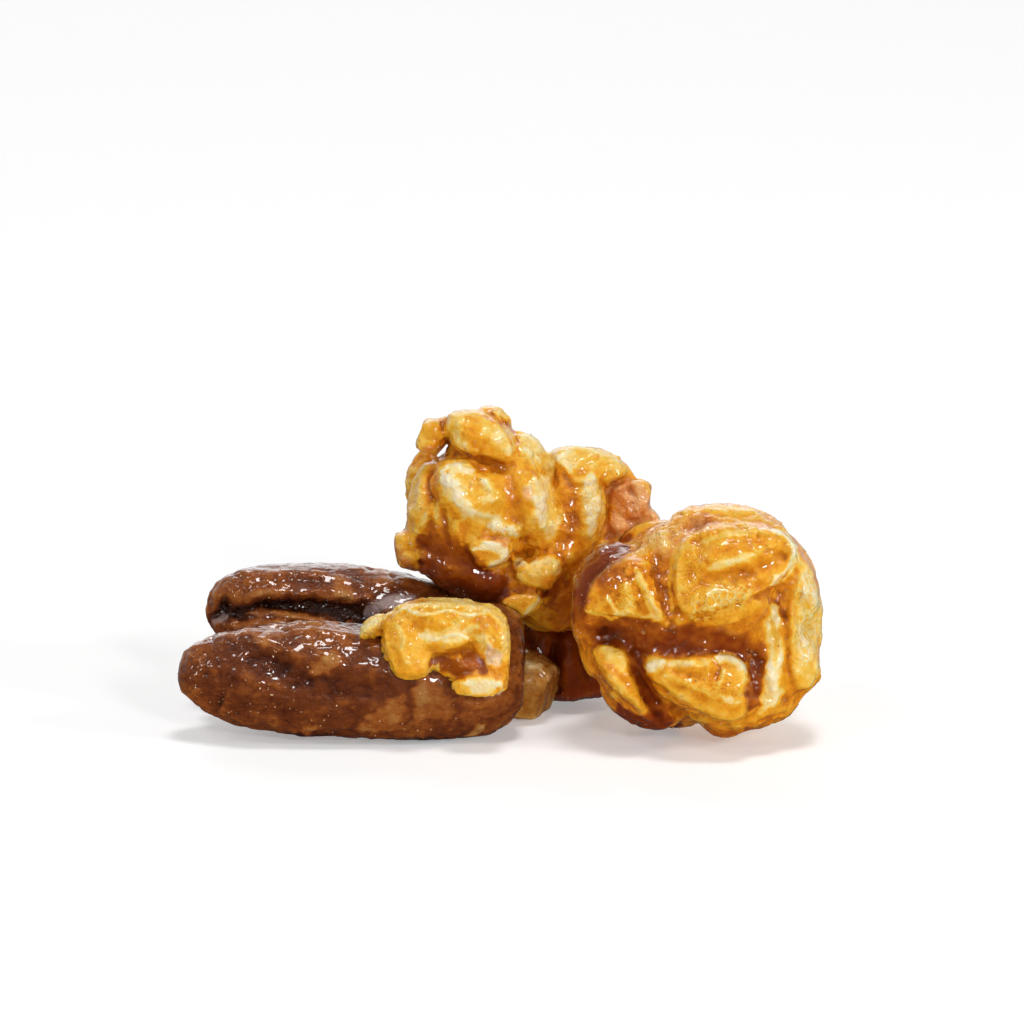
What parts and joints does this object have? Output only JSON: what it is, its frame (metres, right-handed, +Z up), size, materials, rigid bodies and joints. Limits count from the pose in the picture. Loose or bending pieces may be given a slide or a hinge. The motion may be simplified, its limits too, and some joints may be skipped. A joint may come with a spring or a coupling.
{
  "type": "caramel pecan popcorn",
  "caption": "Small cluster of caramel-coated popcorn and a glazed pecan half, stuck where they touch and resting on a table.",
  "frame": {"origin": "middle of the base, on the surface that the food rests on", "axes": "+X to the right in the picture, along the whole, from the pecan half to the round kernel; +Y away from the viewer; +Z up"},
  "size_m": [0.0664, 0.0324, 0.0317],
  "materials": {
    "pecan_skin": "glossy sugar glaze over reddish brown nut skin",
    "pecan_meat": "glossy sugar glaze over olive tan nut",
    "glazed_popcorn": "glossy golden caramel over cream popcorn",
    "dark_caramel": "glossy dark brown caramel"
  },
  "bodies": {
    "root": {"pecan_half": "pecan_skin", "pecan_piece": "pecan_meat", "popcorn_mushroom": "glazed_popcorn", "popcorn_butterfly": "glazed_popcorn", "popcorn_crumb": "glazed_popcorn", "popcorn_dark": "dark_caramel"}
  },
  "joints": []
}
